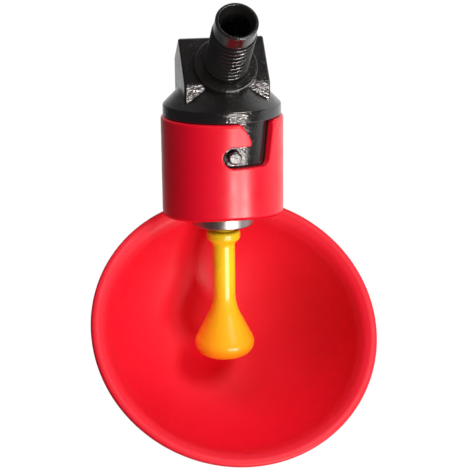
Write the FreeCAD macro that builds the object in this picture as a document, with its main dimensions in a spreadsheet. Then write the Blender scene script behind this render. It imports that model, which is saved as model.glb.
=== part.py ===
import FreeCAD, Part
import Sketcher
import math
import os
import re

# Poultry drinking cup: a bowl hung from a tilting valve.
# The inlet thread and the bowl's rim stand upright in use, and the collar and valve lie along a
# second axis, which leans forward and down from the elbow into the bowl.
#
# Every piece except the inlet tube is drawn in the collar's own frame: its Z axis is the collar's
# axis, pointing from the bowl to the elbow, its origin is the middle of the collar's top edge, and
# -Y is the side that faces the drinking bird. The placement then turns and moves it so that the
# inlet thread is vertical and its middle is the origin.

Vector = FreeCAD.Vector
Rotation = FreeCAD.Rotation
Placement = FreeCAD.Placement

SIZES = [
    ("lean", 40.0, "angle of the collar's axis above the horizontal"),
    ("elbow_height", 8.76, "from the collar's top to where the tube's axis meets the collar's axis"),
    ("running_gap", 0.08, "radial clearance of a turning fit"),
    ("rest_gap", 0.3, "clearance of two faces that rest near each other"),
    ("rim_radius", 40.0, "bowl, outer edge of the rim"),
    ("rim_meet", 1.4859, "bowl, its rim meets the underside of the floor this far inside the bore"),
    ("rim_behind", 1.5085, "bowl, back of the rim's edge in front of the floor's back edge"),
    ("bowl_inset", 4.8, "bowl, inside of the dish behind the rim's edge"),
    ("bowl_wall", 2.0, "bowl, wall"),
    ("dish_centre", 2.4, "bowl, centre of the dish above the rim"),
    ("band_width", 3.8, "bowl, width of the flared rim band"),
    ("band_drop", 1.3, "bowl, fall of the rim band"),
    ("room_inset", 1.5, "bowl, the collar's back wall ends this far behind the rim's edge"),
    ("band_bend", 4.0, "bowl, bend from the band into the dish"),
    ("dish_top", 4.2, "bowl, where the dish begins below the rim"),
    ("lip_round", 0.9, "bowl, rounding of the rim's edge"),
    ("lip_depth", 3.8, "bowl, where the underside of the lip meets the wall"),
    ("collar_radius", 17.0, "collar, outside"),
    ("collar_wall", 2.0, "collar, wall"),
    ("collar_depth", 27.0, "collar, from its top to the underside of its floor"),
    ("collar_floor", 3.0, "collar, floor"),
    ("collar_round", 2.8, "collar, rounding of its lower edge"),
    ("collar_lip", 0.9, "collar, rounding of its top edge"),
    ("root_short", 5.84, "collar, end of its back wall above the rim's middle"),
    ("root_inset", 0.3, "collar, outside of that back wall inside the collar's outside"),
    ("outlet_radius", 10.0, "collar, hole for the nozzle"),
    ("outlet_short", 17.84, "collar, end of the nozzle's hole above the rim's middle"),
    ("relief_bite", 0.5, "collar, back edge of its floor inside the edge of the nozzle's hole"),
    ("slot_height", 5.9, "bayonet slot, width of the level run"),
    ("slot_level", 9.1, "bayonet slot, middle of the level run below the collar's top"),
    ("slot_start", 0.4, "bayonet slot, azimuth of its round end"),
    ("slot_entry", 28.5, "bayonet slot, azimuth of its entry"),
    ("entry_width", 6.3, "bayonet slot, width of the entry"),
    ("entry_mouth", 6.3, "bayonet slot, from its middle to the flared edge of the mouth"),
    ("entry_lean", 2.2, "bayonet slot, how far its closed side leans outward"),
    ("entry_flare", 4.6, "bayonet slot, height of the flare"),
    ("slot_corner", 2.0, "bayonet slot, rounding of its lower corner"),
    ("pin_radius", 1.9, "bayonet pin"),
    ("pin_level", 9.1, "bayonet pin, below the collar's top"),
    ("pin_azimuth", 1.8, "bayonet pin, azimuth when locked"),
    ("pin_inset", 0.4, "bayonet pin, its end behind the collar's surface"),
    ("pin_round", 0.5, "bayonet pin, rounding of its end"),
    ("flange_gap", 0.1, "elbow, flange above the collar's top"),
    ("flange_radius", 16.4, "elbow, flange on the collar's top"),
    ("flange_height", 3.1, "elbow, flange"),
    ("flange_round", 0.5, "elbow, rounding of the flange's edges"),
    ("shoulder_height", 8.6, "elbow, height of the cone above the flange"),
    ("block_half", 11.8, "elbow, half the block's width"),
    ("block_front", 9.3, "elbow, front face of the block"),
    ("block_back", 8.0, "elbow, back face of the block"),
    ("block_foot", 2.5, "elbow, where the block's corners meet the flange"),
    ("block_face", 8.05, "elbow, slanted face, along the tube from the elbow"),
    ("block_top", 10.0, "elbow, top of the block above the tube's axis"),
    ("block_round", 0.6, "elbow, rounding of the block's edges"),
    ("spigot_cavity_inner", 8.2, "elbow, boss round the valve"),
    ("spigot_wall", 2.0, "elbow, wall of the spigot"),
    ("spigot_roof", 3.0, "elbow, depth of material above the cored spigot"),
    ("ring_radius", 8.7, "inlet tube, ring at its root"),
    ("ring_foot", 3.0, "inlet tube, where the ring begins inside the block"),
    ("ring_height", 1.55, "inlet tube, ring above the slanted face"),
    ("thread_radius", 6.0, "inlet tube, thread outside"),
    ("thread_length", 17.0, "inlet tube, thread"),
    ("pilot_radius", 5.7, "inlet tube, plain end"),
    ("pilot_length", 4.2, "inlet tube, plain end"),
    ("pilot_chamfer", 0.5, "inlet tube, chamfer of the plain end"),
    ("inlet_radius", 3.9, "inlet tube, bore"),
    ("inlet_foot", 1.0, "inlet tube, bore beyond the elbow's middle"),
    ("mouth_radius", 4.9, "inlet tube, mouth of the bore"),
    ("mouth_depth", 2.6, "inlet tube, taper of the mouth"),
    ("spring_seat", 0.5, "elbow, spring's upper seat, above the collar's top"),
    ("spring_bore", 5.4, "elbow, bore round the spring"),
    ("feed_radius", 2.6, "elbow, feed hole above the spring"),
    ("nozzle_radius", 8.6, "nozzle, barrel that shows below the collar"),
    ("nozzle_seat", 6.0, "nozzle, part pressed into the elbow"),
    ("nozzle_end", 31.3, "nozzle, lower end below the collar's top"),
    ("nozzle_top", 12.5, "nozzle, upper end below the collar's top"),
    ("nozzle_chamber", 3.6, "nozzle, chamber round the ball"),
    ("nozzle_throat", 2.4, "nozzle, throat round the valve pin"),
    ("throat_top", 26.3, "nozzle, shoulder under the pin's head"),
    ("throat_height", 1.2, "nozzle, throat"),
    ("nozzle_mouth", 5.0, "nozzle, mouth"),
    ("nozzle_round", 0.5, "nozzle, rounding of its lower edge"),
    ("seal_level", 18.3, "seal ring, middle below the collar's top"),
    ("seal_cord", 1.4, "seal ring, thickness"),
    ("seal_groove", 2.0, "seal ring, width of its groove"),
    ("seal_play", 0.02, "seal ring, clearance all round"),
    ("ball_radius", 2.38, "ball"),
    ("ball_level", 22.8, "ball, centre below the collar's top"),
    ("head_radius", 2.9, "valve pin, head"),
    ("head_height", 1.6, "valve pin, head"),
    ("head_bevel", 0.5, "valve pin, bevel under the head"),
    ("stem_radius", 1.25, "valve pin, stem"),
    ("stem_seat", 12.0, "valve pin, length held in the trigger"),
    ("disc_radius", 4.6, "plunger, disc"),
    ("disc_height", 1.2, "plunger, disc"),
    ("spring_post", 2.6, "plunger, post inside the spring"),
    ("post_height", 3.4, "plunger, post"),
    ("nose_radius", 2.4, "plunger, nose"),
    ("nose_overlap", 0.8, "plunger, how far its end reaches down over the ball"),
    ("washer_height", 1.0, "sealing washer"),
    ("washer_gap", 0.05, "sealing washer, above the nozzle"),
    ("spring_radius", 3.4, "spring, middle of the wire"),
    ("spring_wire", 0.35, "spring, half the wire"),
    ("spring_pitch", 2.2, "spring, from turn to turn"),
    ("spring_play", 0.05, "spring, clearance at each end"),
    ("trigger_top", 32.6, "trigger, top below the collar's top"),
    ("cap_radius", 3.3, "trigger, raised top"),
    ("cap_height", 0.6, "trigger, raised top"),
    ("flank_radius", 4.78, "trigger, head"),
    ("flank_round", 1.2, "trigger, rounding of the head"),
    ("flank_height", 2.9, "trigger, from its top to the taper below the head"),
    ("neck_height", 1.6, "trigger, taper below the head"),
    ("neck_radius", 3.22, "trigger, stem"),
    ("neck_end", 51.9, "trigger, end of the stem"),
    ("bell_radius", 8.5, "trigger, widest"),
    ("bell_level", 66.6, "trigger, where it is widest"),
    ("bell_round", 3.8, "trigger, rounding of the lower edge"),
    ("neck_bend", 14.0, "trigger, hollow curve between stem and cone"),
    ("cone_angle", 26.7, "trigger, half angle of the cone"),
    ("bell_dome", 25.0, "trigger, radius of the bottom"),
]

OWNED = {alias: "sizes." + alias for alias, _, _ in SIZES}

document = FreeCAD.newDocument("poultry_drinking_cup")
sheet = document.addObject("Spreadsheet::Sheet", "sizes")


def fill_sheet():
    """Write each driving size into the sheet: alias, number, meaning."""
    for row, (alias, number, meaning) in enumerate(SIZES, start=1):
        sheet.set(f"A{row}", alias)
        sheet.set(f"B{row}", str(number))
        sheet.set(f"C{row}", meaning)
        sheet.setAlias(f"B{row}", alias)
    document.recompute()


def e(text):
    """Turn a formula in plain size names into an expression that names the sheet."""
    return re.sub(r"[a-z_]+", lambda word: OWNED.get(word.group(), word.group()), text)


def number(text):
    """Work out a formula in size names."""
    result = sheet.evalExpression(e(text))
    return float(getattr(result, "Value", result))


def bind(feature, prop, text):
    """Tie one property of a feature to the sheet."""
    feature.setExpression(prop, e(text))


def new_body(label):
    body = document.addObject("PartDesign::Body", label)
    body.Label = label
    return body


def origin_plane(body, role):
    return next(item for item in body.Origin.OriginFeatures if item.Role == role)


def new_sketch(body, name, role="YZ_Plane", shift=None, turn_axis=None, turn=None):
    """A sketch on one of the body's planes, moved within it and turned by formulas."""
    sketch = body.newObject("Sketcher::SketchObject", name)
    sketch.AttachmentSupport = [(origin_plane(body, role), "")]
    sketch.MapMode = "FlatFace"
    axis = turn_axis or Vector(0, 0, 1)
    angle = number(turn) if turn else 0.0
    sketch.AttachmentOffset = Placement(Vector(0, 0, 0), Rotation(axis, angle))
    if turn:
        bind(sketch, "AttachmentOffset.Rotation.Angle", turn)
    for direction, text in (shift or {}).items():
        bind(sketch, f"AttachmentOffset.Base.{direction}", text)
    document.recompute()
    return sketch


def arc_between(start, end, radius, side):
    """The short arc from start to end; side 1 has its centre to the left, -1 to the right."""
    chord = end - start
    half = chord.Length / 2
    rise = math.sqrt(max(radius * radius - half * half, 0.0))
    left = Vector(-chord.y, chord.x, 0).normalize()
    centre = (start + end) * 0.5 + left * (rise * side)
    circle = Part.Circle(centre, Vector(0, 0, 1), radius)
    first, last = (start, end) if side > 0 else (end, start)
    first_angle = math.atan2(first.y - centre.y, first.x - centre.x)
    last_angle = math.atan2(last.y - centre.y, last.x - centre.x)
    if last_angle < first_angle:
        last_angle += 2 * math.pi
    return Part.ArcOfCircle(circle, first_angle, last_angle)


def pin_point(sketch, index, position, along, text):
    """Hold one coordinate of a sketch point at a formula."""
    if text == "0":
        axis = -2 if along == "X" else -1
        sketch.addConstraint(Sketcher.Constraint("PointOnObject", index, position, axis))
        return
    constraint = Sketcher.Constraint("Distance" + along, -1, 1, index, position, number(text))
    place = sketch.addConstraint(constraint)
    name = f"{along.lower()}_{index}"
    sketch.renameConstraint(place, name)
    bind(sketch, f"Constraints.{name}", text)


def outline(sketch, corners):
    """Close a profile through corners (x, y) or (x, y, radius, side of the arc that leaves it)."""
    spots = [Vector(number(corner[0]), number(corner[1]), 0) for corner in corners]
    count = len(corners)
    ends = []
    for index, corner in enumerate(corners):
        start, end = spots[index], spots[(index + 1) % count]
        if len(corner) == 2:
            sketch.addGeometry(Part.LineSegment(start, end), False)
            ends.append((1, 2))
        else:
            side = corner[3]
            sketch.addGeometry(arc_between(start, end, number(corner[2]), side), False)
            ends.append((1, 2) if side > 0 else (2, 1))
    for index in range(count):
        following = (index + 1) % count
        sketch.addConstraint(
            Sketcher.Constraint("Coincident", index, ends[index][1], following, ends[following][0])
        )
    for index, corner in enumerate(corners):
        pin_point(sketch, index, ends[index][0], "X", corner[0])
        pin_point(sketch, index, ends[index][0], "Y", corner[1])
        if len(corner) > 2:
            place = sketch.addConstraint(Sketcher.Constraint("Radius", index, number(corner[2])))
            sketch.renameConstraint(place, f"bend_{index}")
            bind(sketch, f"Constraints.bend_{index}", corner[2])
    document.recompute()


def circle(sketch, x, y, radius):
    """A full circle held by formulas."""
    spot = Vector(number(x), number(y), 0)
    index = sketch.addGeometry(Part.Circle(spot, Vector(0, 0, 1), number(radius)), False)
    pin_point(sketch, index, 3, "X", x)
    pin_point(sketch, index, 3, "Y", y)
    place = sketch.addConstraint(Sketcher.Constraint("Radius", index, number(radius)))
    sketch.renameConstraint(place, "radius")
    bind(sketch, "Constraints.radius", radius)
    document.recompute()


def turned(body, kind, name, sketch, angle=None):
    """Revolve a sketch about its own vertical axis, all round or through an angle."""
    feature = body.newObject("PartDesign::" + kind, name)
    feature.Profile = sketch
    feature.ReferenceAxis = (sketch, ["V_Axis"])
    feature.Angle = 360.0
    if angle:
        bind(feature, "Angle", angle)
    document.recompute()
    return feature


def straight(body, kind, name, sketch, length, both_ways=False, reverse=False):
    """Pad or pocket a sketch by a length."""
    feature = body.newObject("PartDesign::" + kind, name)
    feature.Profile = sketch
    feature.Midplane = both_ways
    feature.Reversed = reverse
    bind(feature, "Length", length)
    document.recompute()
    return feature


def twice_round(body, name, originals):
    """Repeat features at half a turn about the body's Z axis."""
    pattern = body.newObject("PartDesign::PolarPattern", name)
    pattern.Originals = originals
    pattern.Axis = (origin_plane(body, "Z_Axis"), [""])
    pattern.Angle = 360.0
    pattern.Occurrences = 2
    body.Tip = pattern
    document.recompute()
    return pattern


def edges_where(shape, wanted):
    return [f"Edge{i}" for i, edge in enumerate(shape.Edges, start=1) if wanted(edge)]


def rounded(body, name, base, edges, radius):
    """Round the named edges of the feature before."""
    feature = body.newObject("PartDesign::Fillet", name)
    feature.Base = (base, edges)
    bind(feature, "Radius", radius)
    document.recompute()
    return feature


def place_in_collar_frame(body):
    """Lean the collar's frame and set it below the middle of the thread."""
    body.Placement = Placement(Vector(0, 0, 0), Rotation(Vector(1, 0, 0), number("lean - 90")))
    bind(body, "Placement.Rotation.Angle", "lean - 90")
    bind(body, "Placement.Base.y", "0 - elbow_height * cos(lean )")
    bind(body, "Placement.Base.z", f"0 - ({THREAD_MIDDLE}) - elbow_height * sin(lean )")


THREAD_START = "block_face + ring_height"
THREAD_MIDDLE = THREAD_START + " + thread_length / 2"
TUBE_END = THREAD_START + " + thread_length + pilot_length"
BOWL_RADIUS = "( rim_radius - bowl_inset )"
ROOM_RADIUS = "rim_radius - room_inset"
COLLAR_BORE = "collar_radius - collar_wall"
ROOT_RADIUS = "collar_radius - root_inset"
RELIEF_BACK = "( outlet_radius - relief_bite )"
RIM_FORWARD = f"( rim_radius * sin(lean) - {RELIEF_BACK} + rim_behind )"
RIM_CHORD = f"sqrt( rim_radius ^ 2 - ( {COLLAR_BORE} - rim_meet )^2)"
RIM_BELOW = f"( collar_depth + {RIM_CHORD} * cos(lean) )"
FLOOR_TOP = "collar_depth - collar_floor"
SLOT_FLOOR = "0 - slot_level - slot_height / 2"
SPIGOT_RADIUS = COLLAR_BORE + " - running_gap"
SPIGOT_END = FLOOR_TOP + " - rest_gap"
PIN_REACH = "collar_radius - pin_inset"
WASHER_TOP = "nozzle_top - washer_gap - washer_height"
DISC_TOP = WASHER_TOP + " - disc_height"
BALL_TOP = "ball_level - ball_radius"
HEAD_BOTTOM = "throat_top - rest_gap"
HEAD_TOP = HEAD_BOTTOM + " - head_height"


def rim_sketch(body, name):
    """A sketch in the plane of symmetry whose vertical axis is the axis of the bowl's rim."""
    forward = {"x": f"0 - {RIM_FORWARD}", "y": f"0 - {RIM_BELOW}"}
    return new_sketch(body, name, "YZ_Plane", forward, Vector(0, 0, 1), "90 - lean")


def build_cup():
    """Bowl and collar, moulded as one piece."""
    body = new_body("cup")

    # Back wall of the collar, which runs down until the bowl's wall meets it.
    root = new_sketch(body, "collar_root_profile")
    outline(root, [
        (COLLAR_BORE, f"root_short - {RIM_BELOW}"),
        (ROOT_RADIUS, f"root_short - {RIM_BELOW}"),
        (ROOT_RADIUS, f"0 - ({FLOOR_TOP})"),
        (COLLAR_BORE, f"0 - ({FLOOR_TOP})"),
    ])
    turned(body, "Revolution", "collar_root_wall", root)

    # The room inside and above the bowl takes away the part of that wall that stands in it.
    room = rim_sketch(body, "bowl_room_profile")
    outline(room, [
        ("0", f"dish_centre - {BOWL_RADIUS}"),
        ("0", "rim_radius"),
        (ROOM_RADIUS, "rim_radius"),
        (ROOM_RADIUS, "0 - band_drop"),
        (f"sqrt({BOWL_RADIUS} ^ 2 - ( dish_centre + dish_top)^2)", "0 - dish_top",
         BOWL_RADIUS, -1),
    ])
    turned(body, "Groove", "bowl_room", room)

    wall = rim_sketch(body, "bowl_profile")
    outline(wall, [
        ("0", f"dish_centre - {BOWL_RADIUS}", BOWL_RADIUS, 1),
        (f"sqrt({BOWL_RADIUS} ^ 2 - ( dish_centre + dish_top)^2)", "0 - dish_top",
         "band_bend", -1),
        ("rim_radius - band_width", "0 - band_drop"),
        ("rim_radius - lip_round", "0", "lip_round", -1),
        ("rim_radius", "0 - lip_round"),
        ("rim_radius - lip_round", "0 - 2 * lip_round"),
        (f"sqrt(( {BOWL_RADIUS} + bowl_wall ) ^ 2 - ( dish_centre + lip_depth)^2)",
         "0 - lip_depth", f"{BOWL_RADIUS} + bowl_wall", -1),
        ("0", f"dish_centre - {BOWL_RADIUS} - bowl_wall"),
    ])
    turned(body, "Revolution", "bowl", wall)

    collar = new_sketch(body, "collar_profile")
    outline(collar, [
        ("outlet_radius", "0 - collar_depth"),
        ("collar_radius - collar_round", "0 - collar_depth", "collar_round", 1),
        ("collar_radius", "0 - collar_depth + collar_round"),
        ("collar_radius", "0 - collar_lip", "collar_lip", 1),
        ("collar_radius - collar_lip", "0"),
        (COLLAR_BORE, "0"),
        (COLLAR_BORE, f"0 - ({FLOOR_TOP})"),
        ("outlet_radius", f"0 - ({FLOOR_TOP})"),
    ])
    turned(body, "Revolution", "collar", collar)

    outlet = new_sketch(body, "outlet_circle", "XY_Plane", {"z": f"0 - ({FLOOR_TOP})"})
    circle(outlet, "0", "0", "outlet_radius")
    straight(body, "Pocket", "outlet", outlet, f"{RIM_BELOW} - outlet_short - ({FLOOR_TOP})")

    # Behind the rim the floor is left open, so that every wall stays equally thick.
    relief = new_sketch(body, "floor_relief_outline", "XY_Plane", {"z": f"0 - ({FLOOR_TOP})"})
    half_chord = f"sqrt(({COLLAR_BORE}) ^ 2 - {RELIEF_BACK} ^ 2 )"
    outline(relief, [
        (half_chord, RELIEF_BACK, COLLAR_BORE, 1),
        (f"0 - {half_chord}", RELIEF_BACK),
    ])
    straight(body, "Pocket", "floor_relief", relief, "collar_floor")

    # Bayonet slot: a flared entry, a level run and a round end where the pin lies.
    entry = new_sketch(body, "slot_entry_outline", "XZ_Plane", None, Vector(0, 1, 0), "slot_entry")
    outline(entry, [
        ("0 - entry_width / 2", SLOT_FLOOR),
        ("entry_width / 2 - slot_corner", SLOT_FLOOR, "slot_corner", 1),
        ("entry_width / 2", SLOT_FLOOR + " + slot_corner"),
        ("entry_width / 2 + entry_lean", "collar_lip"),
        ("0 - entry_mouth", "collar_lip"),
        ("0 - entry_width / 2", "0 - entry_flare"),
    ])
    entry_cut = straight(body, "Pocket", "slot_entry_cut", entry, "collar_radius * 2", reverse=True)

    run = new_sketch(body, "slot_run_profile", "XZ_Plane", None, Vector(0, 1, 0), "slot_start - 90")
    outline(run, [
        (f"{COLLAR_BORE} - collar_wall", SLOT_FLOOR),
        ("collar_radius + collar_wall", SLOT_FLOOR),
        ("collar_radius + collar_wall", "0 - slot_level + slot_height / 2"),
        (f"{COLLAR_BORE} - collar_wall", "0 - slot_level + slot_height / 2"),
    ])
    run_cut = turned(body, "Groove", "slot_run", run, "slot_entry - slot_start")

    end = new_sketch(body, "slot_end_circle", "XZ_Plane", None, Vector(0, 1, 0), "slot_start")
    circle(end, "0", "0 - slot_level", "slot_height / 2")
    end_cut = straight(body, "Pocket", "slot_end", end, "collar_radius * 2", reverse=True)

    twice_round(body, "both_slots", [entry_cut, run_cut, end_cut])
    place_in_collar_frame(body)
    return body


def build_valve_body():
    """Elbow: flange, block and inlet tube above, spigot with bayonet pins below."""
    body = new_body("valve_body")
    flange_top = "flange_gap + flange_height"
    block = new_sketch(body, "block_outline")
    outline(block, [
        ("0 - block_front", "block_foot"),
        ("block_back", "block_foot"),
        ("block_back", "elbow_height + block_top * cos(lean)"
         " + (block_top * sin(lean) - block_back) * tan(lean)"),
        ("block_top * sin(lean) - block_face * cos(lean)",
         "elbow_height + block_face * sin(lean) + block_top * cos(lean)"),
        ("0 - block_front", "elbow_height + (block_face - block_front * cos(lean)) / sin(lean)"),
    ])
    straight(body, "Pad", "block", block, "2 * block_half", both_ways=True)
    corners = edges_where(body.Shape, is_block_corner)
    rounded(body, "block_corners", body.Tip, corners, "block_round")

    core = new_sketch(body, "flange_and_spigot_profile")
    outline(core, [
        ("0", f"0 - ({SPIGOT_END})"),
        (SPIGOT_RADIUS, f"0 - ({SPIGOT_END})"),
        (SPIGOT_RADIUS, "flange_gap"),
        ("flange_radius - flange_round", "flange_gap", "flange_round", 1),
        ("flange_radius", "flange_gap + flange_round"),
        ("flange_radius", flange_top),
        ("flange_radius - shoulder_height", f"{flange_top} + shoulder_height"),
        ("0", f"{flange_top} + shoulder_height"),
    ])
    turned(body, "Revolution", "flange_and_spigot", core)

    tube = tube_sketch(body, "inlet_tube_profile")
    outline(tube, [
        ("0", "ring_foot"),
        ("ring_radius", "ring_foot"),
        ("ring_radius", THREAD_START),
        ("thread_radius", THREAD_START),
        ("thread_radius", THREAD_START + " + thread_length"),
        ("pilot_radius", THREAD_START + " + thread_length"),
        ("pilot_radius", TUBE_END + " - pilot_chamfer"),
        ("pilot_radius - pilot_chamfer", TUBE_END),
        ("0", TUBE_END),
    ])
    turned(body, "Revolution", "inlet_tube", tube)

    bore = tube_sketch(body, "inlet_bore_profile")
    outline(bore, [
        ("0", "0 - inlet_foot"),
        ("inlet_radius", "0 - inlet_foot"),
        ("inlet_radius", TUBE_END + " - mouth_depth"),
        ("mouth_radius", TUBE_END),
        ("0", TUBE_END),
    ])
    turned(body, "Groove", "inlet_bore", bore)

    room = new_sketch(body, "valve_room_profile")
    outline(room, [
        ("0", f"0 - ({SPIGOT_END})"),
        ("nozzle_seat", f"0 - ({SPIGOT_END})"),
        ("nozzle_seat", "0 - nozzle_top"),
        ("spring_bore", "0 - nozzle_top"),
        ("spring_bore", "spring_seat"),
        ("feed_radius", "spring_seat"),
        ("feed_radius", "elbow_height"),
        ("0", "elbow_height"),
    ])
    turned(body, "Groove", "valve_room", room)

    cavity = new_sketch(body, "spigot_cavity_profile")
    outline(cavity, [
        ("spigot_cavity_inner", f"0 - ({SPIGOT_END})"),
        (f"{SPIGOT_RADIUS} - spigot_wall", f"0 - ({SPIGOT_END})"),
        (f"{SPIGOT_RADIUS} - spigot_wall", "0 - spigot_roof"),
        ("spigot_cavity_inner", "0 - spigot_roof"),
    ])
    turned(body, "Groove", "spigot_cavity", cavity)

    root = f"({SPIGOT_RADIUS} - spigot_wall / 2)"
    out = {"x": f"{root} * sin(pin_azimuth)", "z": f"{root} * cos(pin_azimuth)"}
    pin = new_sketch(body, "pin_circle", "XZ_Plane", out, Vector(0, 1, 0), "pin_azimuth")
    circle(pin, "0", "0 - pin_level", "pin_radius")
    pin_pad = straight(body, "Pad", "bayonet_pin", pin, f"{PIN_REACH} - {root}")
    twice_round(body, "both_pins", [pin_pad])
    rims = edges_where(body.Shape, is_pin_rim)
    rounded(body, "pin_ends", body.Tip, rims, "pin_round")
    place_in_collar_frame(body)
    return body


def is_block_corner(edge):
    """Upright corners of the block, and the slanted ones above them, on both of its sides."""
    half = number("block_half")
    foot = number("block_foot")
    first, last = (vertex.Point for vertex in edge.Vertexes)
    on_side = abs(abs(first.x) - half) < 1e-6 and abs(first.x - last.x) < 1e-6
    return on_side and max(first.z, last.z) > foot + 1e-6


def is_pin_rim(edge):
    """The outer edge of a bayonet pin's end."""
    curve = edge.Curve
    round_edge = curve.TypeId == "Part::GeomCircle" and abs(curve.Radius - number("pin_radius")) < 1e-6
    reach = Vector(curve.Center.x, curve.Center.y, 0).Length if round_edge else 0.0
    return round_edge and abs(reach - number(PIN_REACH)) < 1e-6


def tube_sketch(body, name):
    """A sketch in the plane of symmetry whose vertical axis is the axis of the inlet tube."""
    up = {"y": "elbow_height"}
    return new_sketch(body, name, "YZ_Plane", up, Vector(0, 0, 1), "90 - lean")


def turned_piece(label, corners):
    """A piece that is one profile turned about the collar's axis."""
    body = new_body(label)
    sketch = new_sketch(body, label + "_profile")
    outline(sketch, corners)
    turned(body, "Revolution", label + "_solid", sketch)
    place_in_collar_frame(body)
    return body


def build_nozzle():
    """Steel nozzle: pressed into the elbow's boss, its barrel shows below the collar."""
    groove_low = "0 - seal_level - seal_groove / 2"
    groove_high = "0 - seal_level + seal_groove / 2"
    return turned_piece("nozzle", [
        ("nozzle_mouth", "0 - nozzle_end"),
        ("nozzle_radius - nozzle_round", "0 - nozzle_end", "nozzle_round", 1),
        ("nozzle_radius", "0 - nozzle_end + nozzle_round"),
        ("nozzle_radius", f"0 - ({SPIGOT_END})"),
        ("nozzle_seat", f"0 - ({SPIGOT_END})"),
        ("nozzle_seat", groove_low),
        ("nozzle_seat - seal_cord", groove_low),
        ("nozzle_seat - seal_cord", groove_high),
        ("nozzle_seat", groove_high),
        ("nozzle_seat", "0 - nozzle_top"),
        ("nozzle_chamber", "0 - nozzle_top"),
        ("nozzle_chamber", "0 - throat_top"),
        ("nozzle_throat", "0 - throat_top"),
        ("nozzle_throat", "0 - throat_top - throat_height"),
    ])


def build_seal_ring():
    """Rubber ring in the nozzle's groove."""
    body = new_body("seal_ring")
    sketch = new_sketch(body, "seal_ring_section")
    circle(sketch, "nozzle_seat - seal_cord / 2", "0 - seal_level", "seal_cord / 2 - seal_play")
    turned(body, "Revolution", "seal_ring_solid", sketch)
    place_in_collar_frame(body)
    return body


def build_ball():
    """Steel ball between plunger and valve pin."""
    body = new_body("steel_ball")
    ball = body.newObject("PartDesign::AdditiveSphere", "steel_ball_solid")
    ball.AttachmentSupport = [(origin_plane(body, "XY_Plane"), "")]
    ball.MapMode = "FlatFace"
    bind(ball, "Radius", "ball_radius")
    bind(ball, "AttachmentOffset.Base.z", "0 - ball_level")
    document.recompute()
    place_in_collar_frame(body)
    return body


def build_valve_pin():
    """Steel pin: its head carries the ball, its stem holds the trigger."""
    socket = "ball_radius + running_gap"
    return turned_piece("valve_pin", [
        ("0", f"0 - ball_level - ({socket})", socket, 1),
        (f"sqrt(({socket})^2 - ({HEAD_TOP} - ball_level)^2)", f"0 - ({HEAD_TOP})"),
        ("head_radius", f"0 - ({HEAD_TOP})"),
        ("head_radius", f"0 - ({HEAD_BOTTOM}) + head_bevel"),
        ("head_radius - head_bevel", f"0 - ({HEAD_BOTTOM})"),
        ("stem_radius", f"0 - ({HEAD_BOTTOM})"),
        ("stem_radius", "0 - trigger_top - stem_seat"),
        ("0", "0 - trigger_top - stem_seat"),
    ])


def build_plunger():
    """Plunger: presses the washer on the nozzle and rests on the ball."""
    socket = "ball_radius + running_gap"
    nose_end = f"{BALL_TOP} + nose_overlap"
    return turned_piece("plunger", [
        ("0", f"0 - ball_level + {socket}", socket, -1),
        (f"sqrt(({socket})^2 - (ball_level - ({nose_end}))^2)", f"0 - ({nose_end})"),
        ("nose_radius", f"0 - ({nose_end})"),
        ("nose_radius", f"0 - ({WASHER_TOP})"),
        ("disc_radius", f"0 - ({WASHER_TOP})"),
        ("disc_radius", f"0 - ({DISC_TOP})"),
        ("spring_post", f"0 - ({DISC_TOP})"),
        ("spring_post", f"0 - ({DISC_TOP}) + post_height"),
        ("0", f"0 - ({DISC_TOP}) + post_height"),
    ])


def build_washer():
    """Rubber washer under the plunger's disc."""
    return turned_piece("sealing_washer", [
        ("nose_radius", "0 - nozzle_top + washer_gap"),
        ("disc_radius", "0 - nozzle_top + washer_gap"),
        ("disc_radius", f"0 - ({WASHER_TOP})"),
        ("nose_radius", f"0 - ({WASHER_TOP})"),
    ])


def build_spring():
    """Coil spring between the plunger's disc and the elbow."""
    body = new_body("valve_spring")
    lower_end = f"0 - ({DISC_TOP}) + spring_play + spring_wire"
    sketch = new_sketch(body, "spring_wire_section")
    circle(sketch, "spring_radius", lower_end, "spring_wire")
    coil = body.newObject("PartDesign::AdditiveHelix", "spring_coil")
    coil.Profile = sketch
    coil.ReferenceAxis = (sketch, ["V_Axis"])
    coil.Mode = 0
    bind(coil, "Pitch", "spring_pitch")
    bind(coil, "Height", f"{DISC_TOP} + spring_seat - 2 * (spring_play + spring_wire)")
    document.recompute()
    place_in_collar_frame(body)
    return body


def build_trigger():
    """Moulded trigger: head, stem and bell."""
    shoulder = "0 - trigger_top - cap_height"
    flank_end = "0 - trigger_top - flank_height"
    bell_bottom = "0 - bell_level - bell_round"
    return turned_piece("trigger", [
        ("stem_radius", "0 - trigger_top"),
        ("stem_radius", "0 - trigger_top - stem_seat"),
        ("0", "0 - trigger_top - stem_seat"),
        ("0", f"{bell_bottom} - bell_dome + sqrt(bell_dome^2 - (bell_radius - bell_round)^2)",
         "bell_dome", 1),
        ("bell_radius - bell_round", bell_bottom, "bell_round", 1),
        ("bell_radius - bell_round * (1 - cos(cone_angle))",
         "0 - bell_level + bell_round * sin(cone_angle)"),
        ("neck_radius + neck_bend * (1 - cos(cone_angle))",
         "0 - neck_end - neck_bend * sin(cone_angle)", "neck_bend", -1),
        ("neck_radius", "0 - neck_end"),
        ("neck_radius", f"{flank_end} - neck_height"),
        ("flank_radius", flank_end),
        ("flank_radius", f"{shoulder} - flank_round", "flank_round", 1),
        ("flank_radius - flank_round", shoulder),
        ("cap_radius", shoulder),
        ("cap_radius", "0 - trigger_top"),
    ])


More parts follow.
